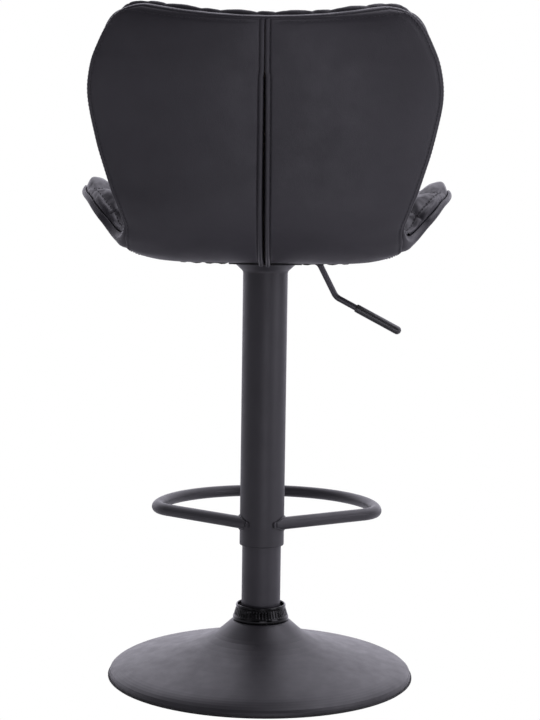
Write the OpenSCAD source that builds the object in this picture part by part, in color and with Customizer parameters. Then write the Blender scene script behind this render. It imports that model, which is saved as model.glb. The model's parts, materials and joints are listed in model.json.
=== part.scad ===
// Bar stool with footrest: trumpet base, gas-lift column, swivel, padded shell seat.
// Millimetres. Z up, floor at z = 0, the column axis is the Z axis,
// the sitter faces -Y and the backrest is on the +Y side.

/* [Base] */
// Diameter of the trumpet base over its rubber floor ring
base_d = 392; // [375:1:410]
// Sheet thickness of the trumpet base
base_sheet = 2; // [1.6:0.1:2.4]
// Height of the trumpet neck above the floor
neck_z = 72; // [70:0.1:74]

/* [Column] */
// Outer diameter of the fixed lower tube
tube_d = 50; // [49:0.5:51]
// Outer diameter of the moving sleeve tube
sleeve_d = 57; // [56.5:0.1:58]
// Height of the sleeve's lower rim at the lowest setting
sleeve_z = 170; // [160:1:180]

/* [Footrest] */
// Diameter of the footrest tube
foot_d = 16; // [14:0.5:18]
// Height of the footrest centre line at the lowest setting
foot_z = 199; // [190:1:205]
// Radius of the front bow
foot_bow = 147; // [140:1:155]

/* [Lever] */
// Diameter of the lever rod
rod_d = 7.6; // [7:0.1:8]
// Diameter of the lever grip
grip_d = 10.8; // [10:0.1:12]

/* [Seat] */
// Height of the flat underside of the upholstery
pan_z = 537.5; // [537:0.1:538]
// Recline of the backrest from vertical
recline = 15; // [13:0.5:17]
// Length of the straight part of the backrest
back_len = 218; // [205:1:225]
// Inner corner radius between seat and backrest, at the underside
bend_r = 100; // [95:1:105]

/* [Hidden] */
$fn = 96;
e = 0.01;
tube_r = tube_d / 2;
tube_in = tube_r - 2;
slv_r = sleeve_d / 2;
slv_in = slv_r - 2;
cyl_r = 14;
pivot_x = -30;
pivot_z = 534.7;
plate_z = pan_z + 2.4;
plate_t = 3;

// ---- small helpers ----

// ring with a rectangular section
module ring(r0, r1, z0, z1) {
  rotate_extrude() polygon([[r0, z0], [r1, z0], [r1, z1], [r0, z1]]);
}

// straight rod between two points of the XZ plane
module rod(p, q, r) {
  v = q - p;
  translate([p[0], 0, p[1]]) rotate([0, atan2(v[0], v[1]), 0]) cylinder(r = r, h = norm(v));
}

// rod with one rounded bend in the XZ plane
module bend(p, c, q, R, r) {
  u = (p - c) / norm(p - c);
  v = (q - c) / norm(q - c);
  half = acos(u * v) / 2;
  t = R / tan(half);
  m = (u + v) / norm(u + v);
  o = c + m * R / sin(half);
  a = c + u * t;
  b = c + v * t;
  a0 = atan2(a[1] - o[1], a[0] - o[0]);
  a1 = atan2(b[1] - o[1], b[0] - o[0]);
  d0 = a1 - a0;
  d = d0 > 180 ? d0 - 360 : d0 < -180 ? d0 + 360 : d0;
  rod(p, a - 0.5 * u, r);
  rod(b - 0.5 * v, q, r);
  translate([o[0], 0, o[1]]) rotate([90, 0, 0]) rotate([0, 0, d > 0 ? a0 : a1])
    rotate_extrude(angle = abs(d)) translate([R, 0]) circle(r = r + 0.03);
}

// ---- smooth curve through stations [[x, y], ...] ----

function slope(T, i) =
  let (n = len(T) - 1)
  i == 0 ? (T[1][1] - T[0][1]) / (T[1][0] - T[0][0]) :
  i == n ? (T[n][1] - T[n - 1][1]) / (T[n][0] - T[n - 1][0]) :
  let (p = (T[i][1] - T[i - 1][1]) / (T[i][0] - T[i - 1][0]),
       q = (T[i + 1][1] - T[i][1]) / (T[i + 1][0] - T[i][0]))
  p * q <= 0 ? 0 : 2 * p * q / (p + q);
function slopes(T) = [for (i = [0:len(T) - 1]) slope(T, i)];
function cell(T, x, i = 0) = i >= len(T) - 2 || x < T[i + 1][0] ? i : cell(T, x, i + 1);
function curve(T, M, x) =
  let (i = cell(T, x), h = T[i + 1][0] - T[i][0], t = max(0, min(1, (x - T[i][0]) / h)))
  (2 * t ^ 3 - 3 * t ^ 2 + 1) * T[i][1] + (t ^ 3 - 2 * t ^ 2 + t) * h * M[i]
  + (3 * t ^ 2 - 2 * t ^ 3) * T[i + 1][1] + (t ^ 3 - t ^ 2) * h * M[i + 1];

// ---- seat surface ----
// a runs along the underside from the front edge, through the bend, up to the top edge;
// s runs from -1 to 1 across; d is the depth into the upholstery from the outside face.

flat0 = -120;
flat1 = 70;
droop_r = 410;
droop = 12.68;
L0 = droop_r * droop * PI / 180;
L1 = L0 + flat1 - flat0;
L2 = L1 + bend_r * (90 - recline) * PI / 180;
LE = L2 + back_len;

half_w = [[0, 136], [3, 150], [8, 160], [15, 169], [28, 182], [60, 203], [110, 224.5], [160, 235],
  [215, 233.5], [262, 217.5], [300, 191.5], [325, 175.5], [342, 167], [356, 166], [378, 171], [396, 176],
  [411, 180.5], [430, 186.5], [473, 198.5], [529, 207], [LE - 64, 201], [LE - 46, 193],
  [LE - 33, 187], [LE - 22, 180.5], [LE - 12, 172], [LE - 6, 164], [LE - 2, 151], [LE, 140]];
lift_h = [[0, 32], [60, 58], [130, 79], [190, 84.5], [240, 73], [285, 47.5], [310, 24.5], [325, 9.5],
  [342, 8.5], [360, 14.5], [390, 20], [440, 28], [500, 32], [LE, 26]];
lift_p = [[0, 3], [100, 3.6], [200, 3.2], [255, 3.2], [285, 4.8], [310, 7], [325, 7], [345, 5], [420, 2.4],
  [LE, 2.2]];
pad_t = [[0, 24], [30, 36], [80, 46], [220, 46], [340, 44], [440, 40], [LE - 30, 32], [LE, 22]];
half_m = slopes(half_w);
lift_hm = slopes(lift_h);
lift_pm = slopes(lift_p);
pad_m = slopes(pad_t);
rim_t = 22;

function width(a) = curve(half_w, half_m, a);
// half width moved in from the rim by i
function inw(a, i) =
  let (k = (width(min(LE, a + 1)) - width(max(0, a - 1))) / (min(LE, a + 1) - max(0, a - 1)))
  width(a) - i * sqrt(1 + k * k);

// middle line: y, z and tangent angle
function mid(a) =
  let (p = (L0 - a) / droop_r * 180 / PI, q = (a - L1) / bend_r * 180 / PI, m = 90 - recline,
       sag = 4.5 * exp(-((a - L1 - 25) / 32) ^ 2))
  a < L0 ? [flat0 - droop_r * sin(p), pan_z - droop_r * (1 - cos(p)) - sag, p] :
  a < L1 ? [flat0 + a - L0, pan_z - sag, 0] :
  a < L2 ? [flat1 + bend_r * sin(q), pan_z + bend_r * (1 - cos(q)) - sag, q] :
  [flat1 + bend_r * sin(m) + (a - L2) * cos(m), pan_z + bend_r * (1 - cos(m)) + (a - L2) * sin(m) - sag, m];

// thickness of the whole upholstery
function thick(a, s) =
  rim_t + (curve(pad_t, pad_m, a) - rim_t) * (1 - max(0, (abs(s) - 0.55) / 0.45) ^ 2);

// point at station a, side x (mm), depth d
function P(a, x, d) =
  let (w = width(a), s = x / w, S = abs(s), g = sign(s),
       ae = a - (9.5 * max(0, 1 - (LE - a) / 120) ^ 2 + 17 * max(0, 1 - a / 110) ^ 2) * (1 - S * S),
       c = mid(ae), h = curve(lift_h, lift_hm, a), p = curve(lift_p, lift_pm, a),
       up = h * S ^ p, k = atan(h * p * S ^ (p - 1) / w) * (1 - 0.28 * S ^ 4),
       ny = -sin(c[2]), nz = cos(c[2]), q = up + d * cos(k))
  [x - g * sin(k) * d, c[0] + ny * q, c[1] + nz * q];

// rows along a, closer together at both ends and round the bend
rows = concat([0, 2, 5, 10, 18, 30, 45], [for (i = [1:1:9]) 45 + i * (L1 - 60) / 9],
  [for (i = [0:1:8]) L1 + 4 + i * (L2 - L1 - 8) / 8], [for (i = [1:1:7]) L2 + i * (back_len - 55) / 7],
  [LE - 42, LE - 30, LE - 20, LE - 12, LE - 6, LE - 2.5, LE]);
cols = [for (i = [-9:1:9]) let (t = i / 9) 0.72 * t + 0.28 * sin(90 * t)];

// closed sheet from two grids of points, lower and upper
module sheet(lo, up) {
  n = len(lo);
  m = len(lo[0]);
  k = n * m;
  polyhedron(
    points = concat([for (r = lo) for (p = r) p], [for (r = up) for (p = r) p]),
    faces = concat(
      [for (i = [0:n - 2]) for (j = [0:m - 2]) for (f = [0, 1])
        let (a = i * m + j, b = a + 1, c = a + m, d = c + 1) f == 0 ? [a, b, d] : [a, d, c]],
      [for (i = [0:n - 2]) for (j = [0:m - 2]) for (f = [0, 1])
        let (a = k + i * m + j, b = a + 1, c = a + m, d = c + 1) f == 0 ? [a, d, b] : [a, c, d]],
      [for (i = [0:n - 2]) for (f = [0, 1])
        let (a = i * m, c = a + m) f == 0 ? [a, c, k + c] : [a, k + c, k + a]],
      [for (i = [0:n - 2]) for (f = [0, 1])
        let (a = i * m + m - 1, c = a + m) f == 0 ? [a, k + c, c] : [a, k + a, k + c]],
      [for (j = [0:m - 2]) for (f = [0, 1])
        let (a = j, b = j + 1) f == 0 ? [a, k + b, b] : [a, k + a, k + b]],
      [for (j = [0:m - 2]) for (f = [0, 1])
        let (a = k - m + j, b = a + 1) f == 0 ? [a, b, k + b] : [a, k + b, k + a]]),
    convexity = 10);
}

// whole-width layer between depths; the upper depth is measured from the top when top is true
module layer(a0, a1, inset, d0, d1, top0 = false, top1 = false) {
  A = concat([a0], [for (r = rows) if (r > a0 + 1.2 && r < a1 - 1.2) r], [a1]);
  function depth(a, x, d, top) = top ? thick(a, x / width(a)) - d : d;
  function face(d, top) =
    [for (a = A) let (w = inw(a, inset)) [for (s = cols) P(a, s * w, depth(a, s * w, d, top))]];
  sheet(face(d0, top0), face(d1, top1));
}

// ---- base ----

kt = base_d / 392;
trumpet = [[36, neck_z], [38.5, neck_z - 1.6], [43.5, 66], [50, 60.2], [60, 52.6], [80, 44.2], [100, 38],
  [125, 31.2], [150, 25], [170, 19.7], [182, 15.9], [189.5, 12], [192.8, 9], [194.1, 6], [194.6, 3]];
trumpet_m = slopes(trumpet);
function tz(r) = curve(trumpet, trumpet_m, r);
trumpet_r = [36, 37.2, 38.5, 41, 43.5, 46, 50, 55, 60, 70, 80, 90, 100, 112, 125, 138, 150, 160, 170,
  177, 182, 186, 189.5];

module base_cover() {
  R = base_d / 2;
  color([0.06, 0.06, 0.065]) rotate_extrude(convexity = 10) polygon(concat(
    [[tube_r + 0.4, neck_z]],
    [for (r = trumpet_r) [r * kt, tz(r)]],
    [[192.8 * kt, 9], [194.1 * kt, 6], [R - 1.4, 3], [R - 1.4, 2],
      [R - 3.4, 2], [R - 3.6, 5.6], [191 * kt, 8.2], [188 * kt, 10.6]],
    [for (i = [len(trumpet_r) - 2:-1:0])
      let (r = trumpet_r[i], g = tz(r + 0.5) - tz(r - 0.5), k = base_sheet / sqrt(1 + g * g))
      if (r > 40) [r * kt + k * g, tz(r) - k]],
    [[36.5 * kt, neck_z - base_sheet - 1.6], [tube_r + 0.4, neck_z - base_sheet - 1.6]]));
}

module floor_ring() {
  R = base_d / 2;
  color([0.03, 0.03, 0.03]) rotate_extrude(convexity = 4) polygon([
    [R - 7.5, 0], [R - 1, 0], [R, 0.8], [R, 2.2], [R - 0.5, 2.8], [R - 1.3, 2.8],
    [R - 1.3, 1.7], [R - 3.7, 1.7], [R - 3.7, 3.2], [R - 7.5, 3.2]]);
}

module base_weight() {
  color([0.2, 0.2, 0.21]) rotate_extrude() polygon([[tube_r + 0.3, 12], [166 * kt, 12], [168 * kt, 13.5],
    [168 * kt, 15.4], [166 * kt, 16], [tube_r + 0.3, 16]]);
}

module column_flange() {
  color([0.25, 0.25, 0.26]) ring(tube_r + 0.05, 58, 16.05, 19.5);
}

module column_nut() {
  color([0.5, 0.5, 0.52]) difference() {
    translate([0, 0, 4]) cylinder(r = 36, h = 7.9, $fn = 6);
    translate([0, 0, 3]) cylinder(r = tube_r + 0.05, h = 10);
  }
}

// locking collar: smooth foot, fluted cone and a raised lip clear of the tube
module base_collar() {
  z0 = neck_z + 0.1;
  flutes = 50;
  color([0.03, 0.03, 0.03]) difference() {
    rotate_extrude(convexity = 4) polygon([
      [tube_r + 0.1, z0], [34.9, z0], [35.7, z0 + 1], [35.9, z0 + 3], [35.6, z0 + 5], [34.9, z0 + 6.2],
      [31.6, z0 + 15.6], [32, z0 + 16.6], [31.6, z0 + 18.4], [30.7, z0 + 18.9], [29.9, z0 + 18.4],
      [29.6, z0 + 16], [tube_r + 0.1, z0 + 16]]);
    for (i = [0:flutes - 1]) rotate([0, 0, i * 360 / flutes])
      translate([35.4, 0, z0 + 6.2]) rotate([0, -19.3, 0]) cylinder(r = 1.1, h = 9.4, $fn = 24);
  }
}

module lower_tube() {
  color([0.07, 0.07, 0.075]) rotate_extrude() polygon([
    [tube_in, 5], [tube_r, 5], [tube_r, 479], [tube_r - 1, 480], [tube_in, 480]]);
}

module bearing_cup() {
  color([0.45, 0.45, 0.47]) ring(5.4, tube_in - 0.05, 14, 19);
}

module bearing_lower_race() {
  color([0.7, 0.7, 0.72]) ring(6, 11.5, 19, 21);
}

module guide_bush() {
  color([0.85, 0.85, 0.83]) rotate_extrude() polygon([
    [cyl_r + 0.05, 385], [tube_in - 0.05, 385], [tube_in - 0.05, 480.05], [tube_r - 0.4, 480.05],
    [tube_r - 0.4, 482.5], [tube_r - 1, 483], [cyl_r + 0.6, 483], [cyl_r + 0.05, 482.4]]);
}

// ---- piston rod group, turns on the thrust bearing ----

module piston_rod() {
  color([0.75, 0.75, 0.77]) rotate_extrude() polygon([
    [0, 8], [3.6, 8], [4, 8.6], [4, 9.6], [3.4, 9.6], [3.4, 10.8], [4, 10.8], [4, 26.1],
    [5, 26.1], [5, 470], [4, 470.2], [4, 482], [0, 482]]);
}

module piston() {
  color([0.6, 0.6, 0.62]) ring(4.02, 12.44, 470.3, 484);
}

module bearing_balls() {
  color([0.8, 0.8, 0.82]) {
    ring(6.9, 7.9, 22, 23.3);
    ring(9.6, 10.6, 22, 23.3);
    for (i = [0:9]) rotate([0, 0, i * 36]) translate([8.75, 0, 22.65]) sphere(r = 1.58, $fn = 32);
  }
}

module bearing_upper_race() {
  color([0.7, 0.7, 0.72]) ring(4.05, 11.5, 24.3, 26.05);
}

module rod_clip() {
  color([0.3, 0.3, 0.31]) difference() {
    ring(3.45, 7.5, 9.7, 10.7);
    translate([0, -1.5, 9]) cube([10, 3, 3]);
  }
}

// ---- lifting group ----

module pressure_cylinder() {
  color([0.08, 0.08, 0.08]) rotate_extrude() polygon([[12.5, 210], [13.6, 210], [cyl_r, 210.4], [cyl_r, 496],
    [13.2, 525.4], [12.8, 526], [3.05, 526], [3.05, 506], [12.5, 506]]);
}

module cylinder_seal() {
  color([0.2, 0.2, 0.2]) ring(5.05, 12.45, 211, 230);
}

module release_pin() {
  color([0.75, 0.75, 0.77]) rotate_extrude()
    polygon([[0, 511], [3, 511], [3, 529.6], [1.6, 531.8], [0, 531.8]]);
}

module taper_socket() {
  color([0.1, 0.1, 0.1]) rotate_extrude() polygon([[cyl_r + 0.1, 497], [18.5, 497], [18.5, 527], [25.5, 527],
    [25.5, 529.9], [13.2, 529.9], [13.2, 526.4], [13.3, 525]]);
}

module sleeve_tube() {
  z = sleeve_z;
  color([0.075, 0.075, 0.08]) rotate_extrude(convexity = 4) polygon([
    [slv_in, z + 0.6], [slv_in + 0.6, z], [slv_r - 1, z], [slv_r - 0.3, z + 0.4], [slv_r, z + 1.4],
    [slv_r, 519.6], [slv_r + 0.4, 521], [slv_r + 1.3, 522.4], [slv_r + 5.4, 526.2], [slv_r + 9, 529.4],
    [slv_r + 9.4, 529.9], [slv_r + 7, 529.9], [slv_r + 4, 527.6], [slv_in + 1, 523.8], [slv_in, 520]]);
}

module sleeve_glide() {
  color([0.05, 0.05, 0.05]) ring(tube_r + 0.05, slv_in - 0.05, sleeve_z + 1, sleeve_z + 22);
}

// footrest plan: front bow, two corner arcs and two straight bars welded to the sleeve
foot_corner = 42;    // radius of the corner arcs
foot_centre = -101;  // y of the bow's centre
foot_bar = 36.5;     // angle of the bars to the X axis
foot_root = 6;       // y where the bars leave the sleeve
foot_turn = -2;      // turn of the whole footrest about the column
module footrest() {
  d = [cos(foot_bar), -sin(foot_bar)];
  n = [-sin(foot_bar), -cos(foot_bar)];
  p0 = [slv_r - 1, foot_root];
  q = p0 + foot_corner * n - [0, foot_centre];
  k = foot_bow - foot_corner;
  t = -(q * d) + sqrt((q * d) ^ 2 - q * q + k * k);
  c = p0 + t * d + foot_corner * n;
  ca = atan2(c[1] - foot_centre, c[0]);
  lap = 0.4;
  module tube(r) circle(r = r, $fn = 48);
  module bow() rotate([0, 0, -180 - ca - lap])
    rotate_extrude(angle = 180 + 2 * ca + 2 * lap) translate([foot_bow, 0]) tube(foot_d / 2);
  module corner() rotate([0, 0, ca])
    rotate_extrude(angle = 90 - foot_bar - ca) translate([foot_corner, 0]) tube(foot_d / 2 + 0.03);
  module bar() rotate([0, 0, -foot_bar]) rotate([0, 90, 0]) translate([0, 0, -14])
    linear_extrude(t + 15) tube(foot_d / 2);
  color([0.07, 0.07, 0.075]) translate([0, 0, foot_z]) rotate([0, 0, foot_turn]) difference() {
    union() {
      translate([0, foot_centre, 0]) bow();
      for (m = [0, 1]) mirror([m, 0, 0]) {
        translate([c[0], c[1], 0]) corner();
        translate([p0[0], p0[1], 0]) bar();
      }
    }
    translate([0, 0, -20]) cylinder(r = slv_r + 0.02, h = 40);
  }
}

bolt_x = 60;
bolt_y = [-62, 32];

module seat_plate() {
  color([0.09, 0.09, 0.09]) difference() {
    union() {
      translate([-75, -80, plate_z]) cube([150, 125, plate_t]);
      for (s = [-1, 1]) translate([-46, s * 17.5 - 1.5, 530]) cube([92, 3, plate_z - 530 + e]);
    }
    translate([-80, -11, pan_z]) cube([40, 22, 10]);
    for (x = [-bolt_x, bolt_x], y = bolt_y)
      translate([x, y, pan_z]) cylinder(r = 4.2, h = 10, $fn = 32);
    translate([pivot_x, 30, pivot_z]) rotate([90, 0, 0]) cylinder(r = 2.02, h = 60, $fn = 32);
  }
}

module pivot_pin() {
  color([0.6, 0.6, 0.62]) translate([pivot_x, 20.5, pivot_z]) rotate([90, 0, 0])
    cylinder(r = 2, h = 41, $fn = 32);
}

module plate_bolts() {
  color([0.55, 0.55, 0.57]) for (x = [-bolt_x, bolt_x], y = bolt_y) translate([x, y, 0]) {
    difference() {
      translate([0, 0, pan_z - 4.4]) cylinder(r = 7.2, h = 5.3, $fn = 6);
      translate([0, 0, pan_z - 5]) cylinder(r = 3.2, h = 2.6, $fn = 6);
    }
    translate([0, 0, pan_z - 0.5]) cylinder(r = 3.95, h = 14.7, $fn = 32);
  }
}

module plate_washers() {
  color([0.7, 0.7, 0.72]) for (x = [-bolt_x, bolt_x], y = bolt_y) translate([x, y, 0]) difference() {
    translate([0, 0, pan_z + 0.92]) cylinder(r = 9, h = 1.44, $fn = 48);
    translate([0, 0, pan_z]) cylinder(r = 4.2, h = 5, $fn = 32);
  }
}

module tee_nuts() {
  color([0.6, 0.6, 0.62]) for (x = [-bolt_x, bolt_x], y = bolt_y) translate([x, y, pan_z]) difference() {
    union() {
      translate([0, 0, 7.2]) cylinder(r = 5.2, h = 6.6, $fn = 32);
      translate([0, 0, 13.2]) cylinder(r = 9.4, h = 1.3, $fn = 48);
    }
    translate([0, 0, 6]) cylinder(r = 4, h = 10, $fn = 32);
  }
}

// ---- seat ----

module seat_shell() {
  color([0.72, 0.58, 0.4]) difference() {
    layer(5, LE - 5, 5, 6, 15);
    for (x = [-bolt_x, bolt_x], y = bolt_y) translate([x, y, pan_z]) {
      translate([0, 0, 4]) cylinder(r = 5.3, h = 14, $fn = 24);
      translate([0, 0, 13.1]) cylinder(r = 9.6, h = 5, $fn = 24);
    }
  }
}

module seat_foam() {
  color([0.9, 0.86, 0.7]) layer(6.5, LE - 6.5, 6.5, 15.7, 3.4, false, true);
}

module quilted_cover() {
  color([0.05, 0.05, 0.055]) union() {
    layer(0.7, LE - 0.7, 0.7, 2.1, 0, true, true);
    rim_strip([[0.52, -1.4], [0.52, 0], [0.6, 1.2], [0.78, 1.6], [0.93, 1], [1, 0], [1, -1.4]]);
  }
}

// closed strip round the rim; each corner of its section is [share of the thickness, way out]
module rim_strip(section) {
  n = len(rows);
  side = [for (r = rows) [r, width(r)]];
  top = [for (i = [1:9]) [LE, width(LE) * (1 - i / 5)]];
  down = [for (i = [n - 1:-1:0]) [rows[i], -width(rows[i])]];
  front = [for (i = [1:9]) [0, -width(0) * (1 - i / 5)]];
  rim = concat(side, top, down, front);
  m = len(rim);
  k = len(section);
  base = [for (q = rim) P(q[0], q[1], 0)];
  face = [for (q = rim) P(q[0], q[1], thick(q[0], q[1] / width(q[0])))];
  out = [for (i = [0:m - 1])
    let (c = cross(base[(i + 1) % m] - base[(i + m - 1) % m], face[i] - base[i])) c / norm(c)];
  polyhedron(
    points = [for (i = [0:m - 1]) for (q = section) base[i] + q[0] * (face[i] - base[i]) + q[1] * out[i]],
    faces = [for (i = [0:m - 1]) for (j = [0:k - 1]) for (f = [0, 1])
      let (i2 = (i + 1) % m, j2 = (j + 1) % k, a = i * k + j, b = i * k + j2, c = i2 * k + j, d = i2 * k + j2)
      f == 0 ? [a, b, d] : [a, d, c]], convexity = 10);
}

// boxing strip on the outer half of the rim, bulging outwards
module edge_band() {
  color([0.05, 0.05, 0.055])
    rim_strip([[0, 0], [0.1, 1.2], [0.27, 1.8], [0.42, 1.2], [0.5, 0], [0.5, -1.4], [0, -1.4]]);
}

// one rear panel: from the middle gap to the rim, with a folded hem beside the slit
slit_a = LE - 67;
function gap(a) = a > slit_a ? 0.15 : 0.15 + 1.5 * min(1, (slit_a - a) / 60);
function hem(a) = a > slit_a ? 0.5 : 0.5 + 0.9 * min(1, (slit_a - a) / 120);
rear_a0 = L1 + 2;
rear_corner = [[283, 130], [290, 141], [300, 151], [312, 160], [325, 165.5], [345, 166]];
rear_corner_m = slopes(rear_corner);
function rear_w(a) = a < 345 ? min(inw(a, 2.4), curve(rear_corner, rear_corner_m, a)) : inw(a, 2.4);
module rear_panel(side) {
  A = concat([rear_a0], [for (r = rows) if (r > rear_a0 + 2 && r < LE - 4) r], [LE - 2.4]);
  function xs(a) = let (w = rear_w(a), q = gap(a)) concat([q, q + 5.6, q + 6.6],
    [for (i = [1:8]) q + 6.6 + (w - q - 6.6) * (0.75 * i / 8 + 0.25 * sin(90 * i / 8))]);
  J = side > 0 ? [0:10] : [10:-1:0];
  outside = [for (a = A) let (X = xs(a)) [for (j = J) P(a, side * X[j], j < 2 ? -hem(a) : 0)]];
  inside = [for (a = A) let (X = xs(a)) [for (j = J) P(a, side * X[j], 2)]];
  sheet(outside, inside);
}

module rear_cover_left() {
  color([0.05, 0.05, 0.055]) rear_panel(1);
}

module rear_cover_right() {
  color([0.05, 0.05, 0.055]) rear_panel(-1);
}

module rear_padding() {
  A = concat([rear_a0 + 3], [for (r = rows) if (r > rear_a0 + 5 && r < LE - 7) r], [LE - 5]);
  function face(d) = [for (a = A) [for (s = cols) P(a, s * (rear_w(a) - 3), d)]];
  color([0.85, 0.82, 0.7]) sheet(face(2.7), face(4.1));
}

module dust_cover() {
  color([0.02, 0.02, 0.02]) difference() {
    layer(4, L1 + 50, 4, 4.5, 5.4);
    translate([-88, -92, pan_z - 10]) cube([176, 150, 30]);
  }
}

module cover_staples() {
  z = pan_z + 3.9;
  color([0.7, 0.7, 0.72]) {
    for (i = [-4:4]) translate([i * 26 - 5, -110, z]) cube([10, 1.2, 0.55]);
    for (s = [-1, 1], i = [0:5]) translate([s * 122 - 0.6, -96 + i * 27, z]) cube([1.2, 10, 0.55]);
  }
}

// ---- lever ----

lev_c = [-67, pivot_z];
lev_k = [-90, 490];
lev_e = [-173, 446.4];
module lever_rod() {
  r = rod_d / 2;
  u = (lev_e - lev_k) / norm(lev_e - lev_k);
  q = lev_e - 6 * u;
  m1 = (lev_c + lev_k) / 2;
  color([0.04, 0.04, 0.04]) difference() {
    union() {
      translate([pivot_x, -4, pivot_z - 2.5]) cube([38, 8, 5]);
      translate([pivot_x, 15.6, pivot_z]) rotate([90, 0, 0]) cylinder(r = 4.4, h = 31.2);
      bend([pivot_x - 1, pivot_z], lev_c, m1 + 0.04 * (lev_k - lev_c), 11, r);
      bend(m1, lev_k, q, 16, r);
    }
    translate([pivot_x, 30, pivot_z]) rotate([90, 0, 0]) cylinder(r = 2.04, h = 60, $fn = 32);
  }
}

module lever_grip() {
  u = (lev_e - lev_k) / norm(lev_e - lev_k);
  l = 65;
  s = lev_e - l * u;
  g = grip_d / 2;
  color([0.03, 0.03, 0.03]) translate([s[0], 0, s[1]]) rotate([0, atan2(u[0], u[1]), 0])
    rotate_extrude() polygon(concat(
      [[rod_d / 2 + 0.03, 0], [g - 1.2, 0], [g - 0.4, 0.5], [g - 0.1, 1.6], [g, 4], [g, l - 5]],
      [for (i = [1:5]) [g * cos(i * 18), l - 5 + 5 * sin(i * 18)]],
      [[0, l - 5.4], [rod_d / 2 + 0.03, l - 5.4]]));
}

base_cover();
floor_ring();
base_weight();
column_flange();
column_nut();
base_collar();
lower_tube();
bearing_cup();
bearing_lower_race();
guide_bush();
piston_rod();
piston();
bearing_balls();
bearing_upper_race();
rod_clip();
pressure_cylinder();
cylinder_seal();
release_pin();
taper_socket();
sleeve_tube();
sleeve_glide();
footrest();
seat_plate();
pivot_pin();
plate_bolts();
plate_washers();
tee_nuts();
seat_shell();
seat_foam();
quilted_cover();
edge_band();
rear_cover_left();
rear_cover_right();
rear_padding();
dust_cover();
cover_staples();
lever_rod();
lever_grip();
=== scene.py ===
"""Bar stool with footrest: the visual model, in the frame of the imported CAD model.

Lengths inside the functions are in millimetres, as in the CAD; meshes are made in metres.
"""

import json
import math

import bmesh
import bpy
import numpy as np
from mathutils import Matrix, Vector, geometry


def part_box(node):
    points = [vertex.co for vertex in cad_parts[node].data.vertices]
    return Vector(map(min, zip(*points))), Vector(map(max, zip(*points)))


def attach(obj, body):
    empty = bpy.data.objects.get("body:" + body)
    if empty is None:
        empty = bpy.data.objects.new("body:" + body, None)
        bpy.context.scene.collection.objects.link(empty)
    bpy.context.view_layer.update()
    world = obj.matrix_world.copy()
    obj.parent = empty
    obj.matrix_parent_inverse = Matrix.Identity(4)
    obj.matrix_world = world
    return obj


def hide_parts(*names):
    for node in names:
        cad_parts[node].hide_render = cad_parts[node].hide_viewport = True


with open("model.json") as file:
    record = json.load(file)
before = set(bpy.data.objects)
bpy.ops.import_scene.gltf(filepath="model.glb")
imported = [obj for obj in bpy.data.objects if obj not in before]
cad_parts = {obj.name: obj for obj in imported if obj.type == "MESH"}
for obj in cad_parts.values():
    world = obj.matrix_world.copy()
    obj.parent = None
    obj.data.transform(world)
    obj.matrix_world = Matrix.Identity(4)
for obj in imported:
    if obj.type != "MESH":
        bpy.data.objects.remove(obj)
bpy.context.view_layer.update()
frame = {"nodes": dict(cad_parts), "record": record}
NODES = frame["nodes"]
MM = 0.001


def node_box(name):
    """Lowest and highest corner of a CAD node, in millimetres."""
    lo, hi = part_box(name)
    return np.array(lo) / MM, np.array(hi) / MM


# ---------------------------------------------------------------- camera

CAM_PLACE = (-0.0440, 2.0996, 0.5877)
CAM_PITCH = 4.886  # degrees below the horizon
CAM_YAW = 1.0
CAM_ROLL = 0.836
CAM_LENS = 82.6


def make_camera():
    """The camera stands behind the stool, at the height of the seat."""
    yaw, pitch, roll = (math.radians(v) for v in (CAM_YAW, CAM_PITCH, CAM_ROLL))
    look = Vector((math.sin(yaw) * math.cos(pitch), -math.cos(yaw) * math.cos(pitch), -math.sin(pitch)))
    right = look.cross(Vector((0, 0, 1))).normalized()
    up = right.cross(look)
    r = math.cos(roll) * right + math.sin(roll) * up
    u = -math.sin(roll) * right + math.cos(roll) * up
    cam = bpy.data.objects.new("camera", bpy.data.cameras.new("camera"))
    cam.matrix_world = Matrix.Translation(CAM_PLACE) @ Matrix((r, u, -look)).transposed().to_4x4()
    cam.data.lens = CAM_LENS
    cam.data.sensor_width = 36
    cam.data.clip_end = 30
    bpy.context.scene.collection.objects.link(cam)
    bpy.context.scene.camera = cam


# ---------------------------------------------------------------- materials


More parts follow.
